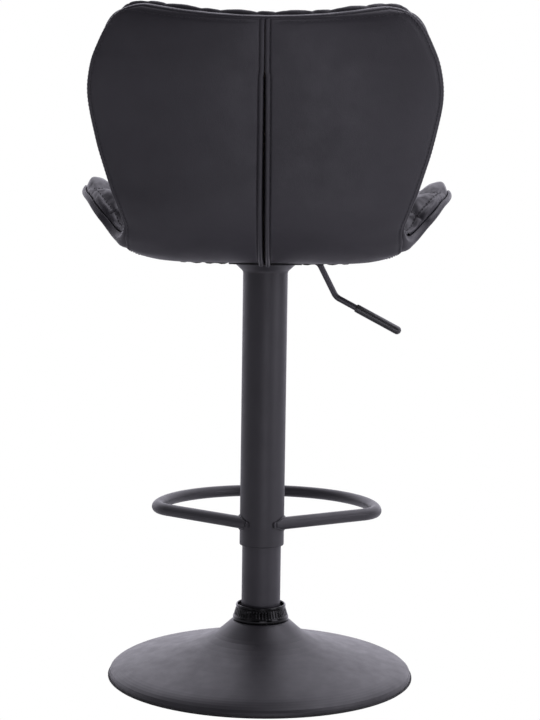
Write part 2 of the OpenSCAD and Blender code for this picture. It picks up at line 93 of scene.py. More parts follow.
class Shader:
    """A node material in the making: the principled shader and short ways to add nodes."""

    def __init__(self, name, color, roughness, metallic=0.0, specular=0.5):
        self.mat = bpy.data.materials.new(name)
        self.mat.use_nodes = True
        self.nodes = self.mat.node_tree.nodes
        self.links = self.mat.node_tree.links
        self.bsdf = self.nodes["Principled BSDF"]
        self.coords = self.nodes.new("ShaderNodeTexCoord").outputs["Object"]
        self.set("Base Color", (*color, 1))
        self.set("Roughness", roughness)
        self.set("Metallic", metallic)
        self.set("Specular IOR Level", specular)
        self.height = None

    def set(self, socket, value):
        self.bsdf.inputs[socket].default_value = value

    def add(self, kind, **inputs):
        node = self.nodes.new(kind)
        for key, value in inputs.items():
            node.inputs[key.replace("_", " ")].default_value = value
        return node

    def noise(self, scale, detail=4.0, rough=0.55, stretch=None):
        node = self.add("ShaderNodeTexNoise", Scale=scale, Detail=detail, Roughness=rough)
        source = self.coords
        if stretch:
            mapping = self.nodes.new("ShaderNodeMapping")
            mapping.inputs["Scale"].default_value = stretch
            self.links.new(source, mapping.inputs["Vector"])
            source = mapping.outputs["Vector"]
        self.links.new(source, node.inputs["Vector"])
        return node.outputs["Fac"]

    def voronoi(self, scale, feature="F1", rand=1.0):
        node = self.add("ShaderNodeTexVoronoi", Scale=scale, Randomness=rand)
        node.feature = feature
        self.links.new(self.coords, node.inputs["Vector"])
        return node.outputs["Distance"]

    def wave(self, scale, axis="Z", distortion=0.0):
        node = self.add("ShaderNodeTexWave", Scale=scale, Distortion=distortion)
        node.bands_direction = axis
        self.links.new(self.coords, node.inputs["Vector"])
        return node.outputs["Fac"]

    def remap(self, value, lo, hi, from_lo=0.0, from_hi=1.0):
        node = self.nodes.new("ShaderNodeMapRange")
        node.inputs["From Min"].default_value = from_lo
        node.inputs["From Max"].default_value = from_hi
        node.inputs["To Min"].default_value = lo
        node.inputs["To Max"].default_value = hi
        self.links.new(value, node.inputs["Value"])
        return node.outputs["Result"]

    def vary_color(self, value, dark, light, lo=0.3, hi=0.7):
        ramp = self.nodes.new("ShaderNodeValToRGB")
        ramp.color_ramp.elements[0].position = lo
        ramp.color_ramp.elements[0].color = (*dark, 1)
        ramp.color_ramp.elements[1].position = hi
        ramp.color_ramp.elements[1].color = (*light, 1)
        self.links.new(value, ramp.inputs["Fac"])
        self.color = ramp.outputs["Color"]
        self.links.new(self.color, self.bsdf.inputs["Base Color"])

    def wear(self, light, start=0.53, end=0.6):
        """Lightens convex edges a little, where a coating rubs thin."""
        geo = self.nodes.new("ShaderNodeNewGeometry")
        fac = self.remap(geo.outputs["Pointiness"], 0.0, 1.0, start, end)
        mix = self.nodes.new("ShaderNodeMix")
        mix.data_type = "RGBA"
        mix.inputs[7].default_value = (*light, 1)
        self.links.new(fac, mix.inputs[0])
        self.links.new(self.color, mix.inputs[6])
        self.color = mix.outputs[2]
        self.links.new(self.color, self.bsdf.inputs["Base Color"])

    def vary_roughness(self, value, lo, hi):
        self.links.new(self.remap(value, lo, hi, 0.3, 0.7), self.bsdf.inputs["Roughness"])

    def bump(self, value, distance, strength=1.0):
        """Adds one layer of relief; distance is in metres."""
        node = self.nodes.new("ShaderNodeBump")
        node.inputs["Strength"].default_value = strength
        node.inputs["Distance"].default_value = distance
        self.links.new(value, node.inputs["Height"])
        if self.height:
            self.links.new(self.height, node.inputs["Normal"])
        self.height = node.outputs["Normal"]
        self.links.new(self.height, self.bsdf.inputs["Normal"])


def grey(v, tint=(1.0, 1.0, 1.0)):
    return tuple(v * t for t in tint)


COOL = (1.0, 0.94, 1.10)


def leather(name, value, roughness):
    """Black coated fabric: pebbled grain, faint creasing, slightly uneven shine."""
    s = Shader(name, grey(value, COOL), roughness, specular=0.32)
    cloud = s.noise(9, 5)
    s.vary_color(cloud, grey(value * 0.86, COOL), grey(value * 1.12, COOL))
    s.wear(grey(value * 1.9, COOL), 0.56, 0.68)
    s.vary_roughness(s.noise(42, 6), roughness - 0.05, roughness + 0.06)
    s.bump(s.voronoi(950, rand=1.0), 0.00010, 0.55)
    s.bump(s.voronoi(2300, rand=0.9), 0.00005, 0.4)
    s.bump(s.noise(140, 6, 0.6), 0.00022, 0.35)
    return s.mat


def powder_coat(name, value, roughness, orange=0.00005):
    """Matte stoved powder: fine orange-peel and faint cloudiness."""
    s = Shader(name, grey(value, COOL), roughness, specular=0.45)
    s.vary_color(s.noise(14, 5), grey(value * 0.9, COOL), grey(value * 1.1, COOL))
    s.wear(grey(value * 1.8, COOL), 0.55, 0.66)
    s.vary_roughness(s.noise(60, 5), roughness - 0.04, roughness + 0.05)
    s.bump(s.noise(900, 3, 0.6), orange, 0.6)
    s.bump(s.voronoi(2200), orange * 0.5, 0.35)
    return s.mat


def plastic(name, value, roughness, grain=0.00002, worn=True):
    s = Shader(name, grey(value), roughness, specular=0.5 if worn else 0.2)
    s.vary_color(s.noise(22, 4), grey(value * 0.85), grey(value * 1.15))
    if worn:
        s.wear(grey(value * 2.2 + 0.01), 0.56, 0.68)
    s.vary_roughness(s.noise(75, 5), max(0.03, roughness - 0.04), roughness + 0.06)
    s.bump(s.noise(700, 4), grain, 0.5)
    return s.mat


def rubber(name, value):
    s = Shader(name, grey(value), 0.78, specular=0.3)
    s.vary_color(s.noise(30, 6), grey(value * 0.7), grey(value * 1.5))
    s.vary_roughness(s.noise(110, 5), 0.68, 0.88)
    s.bump(s.noise(520, 6, 0.65), 0.00012, 0.5)
    return s.mat


def steel(name, value, roughness, brushed=True):
    s = Shader(name, grey(value, (1, 1, 1.02)), roughness, metallic=1.0)
    s.vary_color(s.noise(35, 6), grey(value * 0.82), grey(value * 1.08))
    s.wear(grey(min(0.95, value * 1.35)), 0.54, 0.64)
    s.vary_roughness(s.noise(90, 5), roughness - 0.05, roughness + 0.1)
    if brushed:
        s.bump(s.noise(260, 5, 0.6, (1, 1, 14)), 0.00003, 0.5)
    return s.mat


def cast(name, value):
    s = Shader(name, grey(value), 0.6, metallic=0.85)
    s.vary_color(s.noise(45, 7), grey(value * 0.6), grey(value * 1.3))
    s.vary_roughness(s.noise(80, 6), 0.5, 0.75)
    s.bump(s.noise(330, 8, 0.7), 0.0003, 0.6)
    return s.mat


def nylon(name, value):
    s = Shader(name, (value, value, value * 0.95), 0.42, specular=0.45)
    s.set("Subsurface Weight", 0.08)
    s.vary_color(s.noise(18, 4), (value * 0.93, value * 0.93, value * 0.86), (value, value, value * 0.96))
    s.vary_roughness(s.noise(60, 4), 0.36, 0.5)
    s.bump(s.noise(420, 4), 0.00003, 0.4)
    return s.mat


def plywood(name):
    """Moulded beech veneer: long figure, from noise stretched along one axis."""
    s = Shader(name, (0.55, 0.38, 0.22), 0.6, specular=0.35)
    s.vary_color(s.noise(16, 9, 0.65, (14, 1, 1)), (0.38, 0.24, 0.12), (0.62, 0.45, 0.27), 0.35, 0.65)
    s.vary_roughness(s.noise(40, 5), 0.52, 0.7)
    s.bump(s.noise(220, 8, 0.6, (12, 1, 1)), 0.0001, 0.5)
    return s.mat


def nonwoven(name):
    """Thin spunbond cloth with a pressed dot pattern."""
    s = Shader(name, grey(0.012), 0.85, specular=0.2)
    s.set("Sheen Weight", 0.25)
    s.vary_color(s.noise(260, 8, 0.7), grey(0.007), grey(0.022))
    s.vary_roughness(s.noise(120, 5), 0.78, 0.92)
    s.bump(s.voronoi(420, rand=0.15), 0.00015, 0.6)
    s.bump(s.noise(900, 6, 0.7), 0.00008, 0.5)
    return s.mat


def thread(name, value):
    s = Shader(name, grey(value, COOL), 0.62, specular=0.35)
    s.vary_color(s.noise(400, 4), grey(value * 0.7, COOL), grey(value * 1.3, COOL))
    s.vary_roughness(s.noise(300, 4), 0.55, 0.72)
    s.bump(s.wave(900, "DIAGONAL", 1.0), 0.00006, 0.7)
    return s.mat


MATERIALS = {
    "faux_leather": leather("faux_leather", 0.020, 0.44),
    "faux_leather_rear": leather("faux_leather_rear", 0.020, 0.48),
    "thread": thread("thread", 0.020),
    "powder_coat_base": powder_coat("powder_coat_base", 0.012, 0.46),
    "powder_coat_column": powder_coat("powder_coat_column", 0.016, 0.46),
    "powder_coat_plate": powder_coat("powder_coat_plate", 0.03, 0.52),
    "lever_steel": powder_coat("lever_steel", 0.022, 0.38, 0.00003),
    "grip_plastic": plastic("grip_plastic", 0.018, 0.36),
    "collar_plastic": plastic("collar_plastic", 0.002, 0.07, 0.000004, worn=False),
    "glide_nylon": plastic("glide_nylon", 0.02, 0.4),
    "floor_rubber": rubber("floor_rubber", 0.014),
    "seal_rubber": rubber("seal_rubber", 0.03),
    "ballast_iron": cast("ballast_iron", 0.16),
    "zinc_steel": steel("zinc_steel", 0.55, 0.34),
    "bearing_steel": steel("bearing_steel", 0.62, 0.2),
    "rod_chrome": steel("rod_chrome", 0.72, 0.12, False),
    "bush_nylon": nylon("bush_nylon", 0.72),
    "plywood": plywood("plywood"),
    "nonwoven": nonwoven("nonwoven"),
}


# ---------------------------------------------------------------- mesh helpers


def new_object(name, verts_mm, faces, material, body):
    """A smooth-shaded piece from points in millimetres, with its material, slot and body."""
    mesh = bpy.data.meshes.new(name)
    mesh.from_pydata([tuple(v) for v in np.asarray(verts_mm) * MM], [], faces)
    mesh.validate()
    obj = bpy.data.objects.new(name, mesh)
    bpy.context.scene.collection.objects.link(obj)
    mesh.materials.append(MATERIALS[material])
    mesh.shade_smooth()
    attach(obj, body)
    return obj


def grid_faces(n, m, close_u=False, close_v=False, start=0, flip=False):
    """Quads over an n by m grid of vertices numbered row by row."""
    faces = []
    for i in range(n if close_u else n - 1):
        for j in range(m if close_v else m - 1):
            a, b = i * m + j, i * m + (j + 1) % m
            c, d = ((i + 1) % n) * m + (j + 1) % m, ((i + 1) % n) * m + j
            quad = [a, b, c, d][::-1] if flip else [a, b, c, d]
            faces.append([start + q for q in quad])
    return faces


def lathe(name, profile, material, body, segments, radial):
    """Turns a closed profile of (r, z) round the column axis; radial(theta, r, z) gives the radius."""
    p = np.asarray(profile, float)
    ang = np.arange(segments) * 2 * math.pi / segments
    r, th = np.meshgrid(p[:, 0], ang)
    z = np.tile(p[:, 1], (segments, 1))
    r = radial(th, r, z)
    pts = np.stack([r * np.cos(th), r * np.sin(th), z], -1).reshape(-1, 3)
    return new_object(name, pts, grid_faces(segments, len(p), True, True), material, body)


def stitches(name, runs, body, length=3.6, gap=1.3, radius=0.42, lift=0.25):
    """Thread stitches along runs; each run is (points, normals) on the fabric's surface."""
    verts, faces = [], []
    ring = 6
    ang = np.arange(ring) * 2 * math.pi / ring
    prof = [(-0.5, 0.25, -0.5), (-0.36, 0.9, 0.3), (0.0, 1.0, 0.6), (0.36, 0.9, 0.3), (0.5, 0.25, -0.5)]
    for pts, nrm in runs:
        pts, nrm = np.asarray(pts, float), np.asarray(nrm, float)
        seg = np.linalg.norm(np.diff(pts, axis=0), axis=1)
        s = np.concatenate([[0], np.cumsum(seg)])
        count = int(s[-1] / (length + gap))
        for k in range(count):
            mid = (k + 0.5) * (length + gap)
            at = [np.interp([mid - length / 2, mid, mid + length / 2], s, pts[:, i]) for i in range(3)]
            at = np.array(at).T
            n = np.array([np.interp(mid, s, nrm[:, i]) for i in range(3)])
            n /= max(1e-9, np.linalg.norm(n))
            t = at[2] - at[0]
            t /= max(1e-9, np.linalg.norm(t))
            b = np.cross(t, n)
            start = len(verts)
            for f, r, h in prof:
                c = at[1] + t * f * length + n * (lift + h * radius)
                for a in ang:
                    verts.append(c + radius * r * (math.cos(a) * n + math.sin(a) * b))
            for i in range(len(prof) - 1):
                for j in range(ring):
                    faces.append([start + i * ring + j, start + i * ring + (j + 1) % ring,
                                  start + (i + 1) * ring + (j + 1) % ring, start + (i + 1) * ring + j])
            faces.append([start + j for j in range(ring)])
            faces.append([start + (len(prof) - 1) * ring + j for j in range(ring)][::-1])
    return new_object(name, verts, faces, "thread", body)


# ---------------------------------------------------------------- seat surface, as in part.scad

PLATE_TOP = node_box("seat_plate")[1][2]
PAN_Z = PLATE_TOP - 5.4
RECLINE, BACK_LEN, BEND_R = 15.0, 218.0, 100.0
FLAT0, FLAT1 = -120.0, 70.0
DROOP_R, DROOP = 410.0, 12.68
RIM_T = 22.0
L0 = DROOP_R * math.radians(DROOP)
L1 = L0 + FLAT1 - FLAT0
L2 = L1 + BEND_R * math.radians(90 - RECLINE)
LE = L2 + BACK_LEN

HALF_W = [(0, 136), (3, 150), (8, 160), (15, 169), (28, 182), (60, 203), (110, 224.5), (160, 235),
          (215, 233.5), (262, 217.5), (300, 191.5), (325, 175.5), (342, 167), (356, 166), (378, 171),
          (396, 176), (411, 180.5), (430, 186.5), (473, 198.5), (529, 207), (LE - 64, 201), (LE - 46, 193),
          (LE - 33, 187), (LE - 22, 180.5), (LE - 12, 172), (LE - 6, 164), (LE - 2, 151), (LE, 140)]
LIFT_H = [(0, 32), (60, 58), (130, 79), (190, 84.5), (240, 73), (285, 47.5), (310, 24.5), (325, 9.5),
          (342, 8.5), (360, 14.5), (390, 20), (440, 28), (500, 32), (LE, 26)]
LIFT_P = [(0, 3), (100, 3.6), (200, 3.2), (255, 3.2), (285, 4.8), (310, 7), (325, 7), (345, 5), (420, 2.4),
          (LE, 2.2)]
PAD_T = [(0, 24), (30, 36), (80, 46), (220, 46), (340, 44), (440, 40), (LE - 30, 32), (LE, 22)]


def curve(table, x):
    """Smooth monotone curve through (x, y) stations."""
    t = np.array(table, float)
    xs, ys = t[:, 0], t[:, 1]
    d = np.diff(ys) / np.diff(xs)
    m = np.zeros(len(xs))
    m[0], m[-1] = d[0], d[-1]
    ok = d[:-1] * d[1:] > 0
    m[1:-1][ok] = 2 * d[:-1][ok] * d[1:][ok] / (d[:-1][ok] + d[1:][ok])
    x = np.asarray(x, float)
    i = np.clip(np.searchsorted(xs, x, side="right") - 1, 0, len(xs) - 2)
    h = xs[i + 1] - xs[i]
    u = np.clip((x - xs[i]) / h, 0, 1)
    return ((2 * u ** 3 - 3 * u ** 2 + 1) * ys[i] + (u ** 3 - 2 * u ** 2 + u) * h * m[i]
            + (3 * u ** 2 - 2 * u ** 3) * ys[i + 1] + (u ** 3 - u ** 2) * h * m[i + 1])


def width(a):
    return curve(HALF_W, a)


def inner_width(a, inset):
    after, before = np.minimum(LE, a + 1), np.maximum(0, a - 1)
    k = (width(after) - width(before)) / (after - before)
    return width(a) - inset * np.sqrt(1 + k * k)


def middle(a):
    """Middle line of the outside face: y, z and tangent angle in radians."""
    m = math.radians(90 - RECLINE)
    sag = 4.5 * np.exp(-((a - L1 - 25) / 32) ** 2)
    p, q = (L0 - a) / DROOP_R, (a - L1) / BEND_R
    y = np.select([a < L0, a < L1, a < L2],
                  [FLAT0 - DROOP_R * np.sin(p), FLAT0 + a - L0, FLAT1 + BEND_R * np.sin(q)],
                  FLAT1 + BEND_R * math.sin(m) + (a - L2) * math.cos(m))
    z = np.select([a < L0, a < L1, a < L2],
                  [PAN_Z - DROOP_R * (1 - np.cos(p)), PAN_Z + 0 * a, PAN_Z + BEND_R * (1 - np.cos(q))],
                  PAN_Z + BEND_R * (1 - math.cos(m)) + (a - L2) * math.sin(m)) - sag
    th = np.select([a < L0, a < L1, a < L2], [p, 0 * a, q], m)
    return y, z, th


def thickness(a, x):
    s = np.abs(x) / width(a)
    return RIM_T + (curve(PAD_T, a) - RIM_T) * (1 - np.clip((s - 0.55) / 0.45, 0, None) ** 2)


def seat_point(a, x, d):
    """Point at station a, side x, depth d from the outside face, in millimetres."""
    a, x, d = np.broadcast_arrays(np.asarray(a, float), np.asarray(x, float), np.asarray(d, float))
    w = width(a)
    s = x / w
    S = np.abs(s)
    ae = a - (9.5 * np.clip(1 - (LE - a) / 120, 0, None) ** 2
              + 17 * np.clip(1 - a / 110, 0, None) ** 2) * (1 - S * S)
    y, z, th = middle(ae)
    h, p = curve(LIFT_H, a), curve(LIFT_P, a)
    k = np.arctan(h * p * np.maximum(S, 1e-9) ** (p - 1) / w) * (1 - 0.28 * S ** 4)
    q = h * np.maximum(S, 1e-9) ** p + d * np.cos(k)
    return np.stack([x - np.sign(s) * np.sin(k) * d, y - np.sin(th) * q, z + np.cos(th) * q], -1)


def rim_loop(inset, step):
    """The rim as a closed loop of (a, x), counter-clockwise, evenly spaced and softened."""
    a = np.concatenate([np.linspace(inset, 30, 60), np.linspace(31, LE - 31, 300),
                        np.linspace(LE - 30, LE - inset, 60)])
    w = inner_width(a, inset)
    end = np.linspace(1, -1, 60)[1:-1]
    loop = np.concatenate([np.stack([a, w], -1), np.stack([0 * end + LE - inset, end * w[-1]], -1),
                           np.stack([a, -w], -1)[::-1], np.stack([0 * end + inset, -end * w[0]], -1)])
    for _ in range(2):
        loop = resample(loop, step)
        for _ in range(6):
            loop = soften(loop)
    return loop


def resample(loop, step):
    closed = np.concatenate([loop, loop[:1]])
    s = np.concatenate([[0], np.cumsum(np.linalg.norm(np.diff(closed, axis=0), axis=1))])
    n = int(s[-1] / step)
    t = np.arange(n) * s[-1] / n
    return np.stack([np.interp(t, s, closed[:, i]) for i in range(closed.shape[1])], -1)


def soften(loop):
    """Every point of a closed loop moved half way to the mean of its two neighbours."""
    return 0.5 * loop + 0.25 * (np.roll(loop, 1, 0) + np.roll(loop, -1, 0))


def smoothstep(v):
    return v * v * (3 - 2 * v)


def unit(v):
    return v / np.maximum(1e-9, np.linalg.norm(v, axis=-1))[..., None]


WAIST_A, WAIST_SPAN = 322, 34  # where the rim turns sharply between seat and backrest
WAIST_ROUND = 240  # how much it is rounded off there


class Rim:
    """Points and directions round the rim at one inset: across the thickness and outwards."""

    def __init__(self, inset, step):
        self.loop = rim_loop(inset, step)
        a, x = self.loop.T
        self.low = seat_point(a, x, 0)
        self.high = seat_point(a, x, thickness(a, x))
        bend = np.clip(1 - np.abs(a - WAIST_A) / WAIST_SPAN, 0, 1)[:, None]
        for _ in range(int(WAIST_ROUND / step)):
            shift = (soften(self.low) - self.low) * np.minimum(1, 2 * bend)
            self.low, self.high = self.low + shift, self.high + shift
        self.up = unit(self.high - self.low)
        along = np.roll(self.low, -1, 0) - np.roll(self.low, 1, 0)
        self.along = unit(along)
        self.out = unit(np.cross(self.along, self.up))
        for _ in range(4):
            self.out = unit(soften(self.out))

    def at(self, depth, out):
        """Points at a depth from the outside face and a distance outwards."""
        return self.low + self.up * np.asarray(depth)[..., None] + self.out * np.asarray(out)[..., None]


# ---------------------------------------------------------------- inner face, laid flat


class InnerFace:
    """Arc lengths over the inner face, so that the quilting keeps its size round the curves."""

    def __init__(self):
        self.a = np.linspace(0, LE, 421)
        self.s = np.linspace(-1, 1, 161)
        a, s = np.meshgrid(self.a, self.s, indexing="ij")
        x = s * width(a)
        p = seat_point(a, x, thickness(a, x))
        across = np.linalg.norm(np.diff(p, axis=1), axis=2)
        self.c = np.concatenate([np.zeros((len(self.a), 1)), np.cumsum(across, 1)], 1)
        self.c -= self.c[:, 80:81]
        along = np.linalg.norm(np.diff(p[:, 80], axis=0), axis=1)
        self.b = np.concatenate([[0], np.cumsum(along)])

    def flat(self, a, x):
        """(a, x) to lateral and lengthwise arc length."""
        i = np.clip(a / LE * 420, 0, 419.999)
        j = np.clip((x / width(a) + 1) * 80, 0, 159.999)
        i0, j0 = i.astype(int), j.astype(int)
        u, v = i - i0, j - j0
        c = ((1 - u) * (1 - v) * self.c[i0, j0] + (1 - u) * v * self.c[i0, j0 + 1]
             + u * (1 - v) * self.c[i0 + 1, j0] + u * v * self.c[i0 + 1, j0 + 1])
        return np.stack([c, np.interp(a, self.a, self.b)], -1)

    def unflat(self, q):
        """Back from arc lengths to (a, x)."""
        a = np.interp(q[:, 1], self.b, self.a)
        i = np.clip(a / LE * 420, 0, 419.999)
        i0 = i.astype(int)
        rows = self.c[i0] * (1 - (i - i0))[:, None] + self.c[i0 + 1] * (i - i0)[:, None]
        s = np.array([np.interp(c, row, self.s) for c, row in zip(q[:, 0], rows)])
        return a, s * width(a)


DIAMOND_W, DIAMOND_H = 62.6, 76.0
QUILT_PHASE = 0.2556  # of a diamond's height, from the top edge to the next row of crossings
CREASE, PUFF = 2.8, 5.4
CROWN = 4.4  # rise of the cover over the top edge
FLATTER = 0.45  # how much the quilting flattens over the top edge
CLOTH_CAP, CLOTH_FRAMES = 4.5, 20
PAD_BACK = 15.9  # depth of the pad's hidden back, just above the plywood
SEAM_DEPTH = 11.4  # of the seam between the edge band and the quilted cover
SEAM_AT = [(0, 1.0), (60, 1.0), (120, 0.62), (220, 0.62), (335, 1.0), (LE, 1.0)]  # times SEAM_DEPTH
FACE_INSET = 9.0
LATTICE = 12


class QuiltedFace:
    """The quilted cover from the middle of the pad to the seam on its rim, as one flat domain."""

    def __init__(self):
        self.face = InnerFace()
        loop = rim_loop(FACE_INSET, 3.4)
        self.loop = loop
        self.flat_loop = self.face.flat(loop[:, 0], loop[:, 1])
        t = unit(np.roll(self.flat_loop, -1, 0) - np.roll(self.flat_loop, 1, 0))
        for _ in range(12):
            t = unit(soften(t))
        self.turn = 1.0 if self.area(self.flat_loop) > 0 else -1.0
        self.normal = np.stack([t[:, 1], -t[:, 0]], -1) * self.turn
        self.build_roll()
        self.top = self.face.b[-1]

    @staticmethod
    def area(p):
        q = np.roll(p, -1, 0)
        return float(np.sum(p[:, 0] * q[:, 1] - p[:, 1] * q[:, 0])) / 2

    def seam(self, a):
        """Depth of the seam with the edge band, which narrows round the raised sides."""
        return SEAM_DEPTH * curve(SEAM_AT, a)

    def build_roll(self):
        """Rings of points that carry the cover from the inner face round to the seam."""
        a, x = self.loop.T
        start = seat_point(a, x, thickness(a, x))
        rim = self.nearest_rim(start)
        rings = [start]
        crown = CROWN * smoothstep(np.clip((a - (LE - 60)) / 45, 0, 1))
        for drop, out in ((1.0, -1.5), (3.6, 0.7), (7.0, 1.5)):
            rings.append(rim["low"] + rim["up"] * (RIM_T - drop) + rim["out"] * (out + crown)[:, None])
        for past, out in ((0.7, 1.2), (0.0, -0.3)):
            rings.append(rim["low"] + rim["up"] * (self.seam(a) + past)[:, None] + rim["out"] * out)
        rings = np.array(rings)
        first = 2 * rings[0] - rings[1]
        last = rings[-1] + 0.5 * (rings[-1] - rings[-2])
        ctrl = np.concatenate([first[None], rings, last[None]])
        fine = []
        for k in range(len(rings) - 1):
            p0, p1, p2, p3 = ctrl[k:k + 4]
            for f in np.arange(8) / 8:
                fine.append(0.5 * (2 * p1 + (p2 - p0) * f + (2 * p0 - 5 * p1 + 4 * p2 - p3) * f * f
                                   + (3 * p1 - p0 - 3 * p2 + p3) * f ** 3))
        fine.append(rings[-1])
        fine = np.array(fine)
        step = np.linalg.norm(np.diff(fine, axis=0), axis=2).mean(1)
        self.roll_at = np.concatenate([[0], np.cumsum(step)])
        self.roll = fine
        self.reach = self.roll_at[-1]

    def nearest_rim(self, points):
        """Rim directions at the place of the rim that lies beside each point of the face."""
        rim = Rim(1.2, 3.4)
        nearest = np.array([np.argmin(np.linalg.norm(rim.high - p, axis=1)) for p in points])
        smooth = np.unwrap(nearest * 2 * math.pi / len(rim.high)) * len(rim.high) / (2 * math.pi)
        for _ in range(6):
            turn = smooth[-1] - smooth[0] + (smooth[1] - smooth[0])
            full = np.sign(turn) * len(rim.high)
            prev = np.roll(smooth, 1)
            prev[0] -= full
            nxt = np.roll(smooth, -1)
            nxt[-1] += full
            smooth = 0.5 * smooth + 0.25 * (prev + nxt)
        pos = np.mod(smooth, len(rim.high))
        i = pos.astype(int) % len(rim.high)
        f = (pos - np.floor(pos))[:, None]
        j = (i + 1) % len(rim.high)
        mix = {k: getattr(rim, k)[i] * (1 - f) + getattr(rim, k)[j] * f for k in ("low", "up", "out")}
        mix["up"], mix["out"] = unit(mix["up"]), unit(mix["out"])
        return mix

    def edge_place(self, point):
        """Place along the loop of a point on the outer edge of the domain."""
        edge = self.flat_loop + self.normal * self.reach
        return int(np.argmin(((edge - point) ** 2).sum(1)))

    def side(self, q):
        """Signed distance past the loop (outside is positive) and place along it, in the flat."""
        dist, place = np.empty(len(q)), np.empty(len(q))
        n = len(self.flat_loop)
        for k in range(0, len(q), 2000):
            part = q[k:k + 2000]
            d = part[:, None] - self.flat_loop[None]
            i = np.argmin((d ** 2).sum(2), 1)
            for m, (idx, point) in enumerate(zip(i, part)):
                best = None
                for a in (idx - 1, idx):
                    p0, p1 = self.flat_loop[a % n], self.flat_loop[(a + 1) % n]
                    f = float(np.clip((point - p0) @ (p1 - p0) / max(1e-9, (p1 - p0) @ (p1 - p0)), 0, 1))
                    gap = np.linalg.norm(point - p0 - f * (p1 - p0))
                    if best is None or gap < best[0]:
                        best = (gap, a + f)
                normal = self.normal[idx]
                dist[k + m] = best[0] * (1 if (point - self.flat_loop[idx]) @ normal > 0 else -1)
                place[k + m] = best[1]
        return dist, place

    def base(self, q, dist, place):
        """Points of the smooth cover, before quilting."""
        out = np.empty((len(q), 3))
        inside = dist <= 0
        a, x = self.face.unflat(q[inside])
        out[inside] = seat_point(a, x, thickness(a, x))
        n = len(self.flat_loop)
        row = np.interp(dist[~inside], self.roll_at, np.arange(len(self.roll_at)))
        r0 = np.minimum(row.astype(int), len(self.roll_at) - 2)
        fr = (row - r0)[:, None]
        col = np.mod(place[~inside], n)
        c0 = col.astype(int) % n
        c1 = (c0 + 1) % n
        fc = (col - np.floor(col))[:, None]
        out[~inside] = ((1 - fr) * ((1 - fc) * self.roll[r0, c0] + fc * self.roll[r0, c1])
                        + fr * ((1 - fc) * self.roll[r0 + 1, c0] + fc * self.roll[r0 + 1, c1]))
        return out

    def uv(self, q):
        b = (q[:, 1] - self.top) / DIAMOND_H - QUILT_PHASE
        return np.stack([q[:, 0] / DIAMOND_W + b, q[:, 0] / DIAMOND_W - b], -1)

    def from_uv(self, uv):
        c = (uv[:, 0] + uv[:, 1]) / 2 * DIAMOND_W
        b = ((uv[:, 0] - uv[:, 1]) / 2 + QUILT_PHASE) * DIAMOND_H + self.top
        return np.stack([c, b], -1)


def triangles(points, ring):
    """Triangles over flat points, inside the closed ring that the first ones form."""
    made = geometry.delaunay_2d_cdt([Vector(p) for p in points], [(i, (i + 1) % ring) for i in range(ring)],
                                    [], 0, 1e-5, True)
    flat = np.array([p[:] for p in made[0]])
    source = [ids[0] if ids else 0 for ids in made[3]]
    tris = np.array([list(f) for f in made[2]])
    c = flat[tris].mean(1)
    odd = np.zeros(len(c), bool)
    for a, b in zip(points[:ring], np.roll(points[:ring], -1, 0)):
        crosses = (a[1] > c[:, 1]) != (b[1] > c[:, 1])
        if crosses.any() and a[1] != b[1]:
            odd ^= crosses & (c[:, 0] < a[0] + (c[:, 1] - a[1]) / (b[1] - a[1]) * (b[0] - a[0]))
    return flat, source, [[int(k) for k in t] for t in tris[odd]]


def puff_shape(uv):
    """0 on the stitch lines, rising to 1 in the middle of a diamond."""
    t = np.abs(uv - np.round(uv)) * 2
    g = 1 - (1 - t) ** 2.4
    return g[:, 0] * g[:, 1]


def vertex_normals(points, faces):
    normals = np.zeros_like(points)
    for size in (3, 4):
        f = np.array([q for q in faces if len(q) == size])
        if len(f):
            n = np.cross(points[f[:, 1]] - points[f[:, 0]], points[f[:, 2]] - points[f[:, 0]])
            for k in range(size):
                np.add.at(normals, f[:, k], n)
    return unit(normals)


def inflate(name, points, faces, pinned, cap):
    """Cloth under pressure over a pinned pattern; returns where the points come to rest, in mm."""
    mesh = bpy.data.meshes.new(name)
    mesh.from_pydata([tuple(p) for p in points * MM], [], faces)
    obj = bpy.data.objects.new(name, mesh)
    bpy.context.scene.collection.objects.link(obj)
    group = obj.vertex_groups.new(name="pin")
    group.add([int(i) for i in np.flatnonzero(pinned)], 1.0, "REPLACE")
    cloth = obj.modifiers.new("cloth", "CLOTH")
    s = cloth.settings
    s.quality = 5
    s.mass = 0.25
    s.tension_stiffness = s.compression_stiffness = 12
    s.shear_stiffness = 6
    s.bending_stiffness = 0.4
    s.vertex_group_mass = "pin"
    s.use_pressure = True
    s.uniform_pressure_force = 4.0
    s.shrink_min = -0.035
    s.effector_weights.gravity = 0
    cloth.collision_settings.use_collision = False
    cloth.collision_settings.use_self_collision = False
    cloth.point_cache.frame_start, cloth.point_cache.frame_end = 1, CLOTH_FRAMES
    scene = bpy.context.scene
    for f in range(1, CLOTH_FRAMES + 1):
        scene.frame_set(f)
    ev = obj.evaluated_get(bpy.context.evaluated_depsgraph_get())
    co = np.empty(len(points) * 3)
    ev.data.vertices.foreach_get("co", co)
    co = co.reshape(-1, 3) / MM
    scene.frame_set(1)
    bpy.data.objects.remove(obj)
    move = co - points
    size = np.linalg.norm(move, axis=1)
    print("cloth moves, mm: mean", round(float(size.mean()), 2), "most", round(float(size.max()), 2))
    soft = cap * np.tanh(size / cap) / np.maximum(size, 1e-9)
    return points + move * soft[:, None]


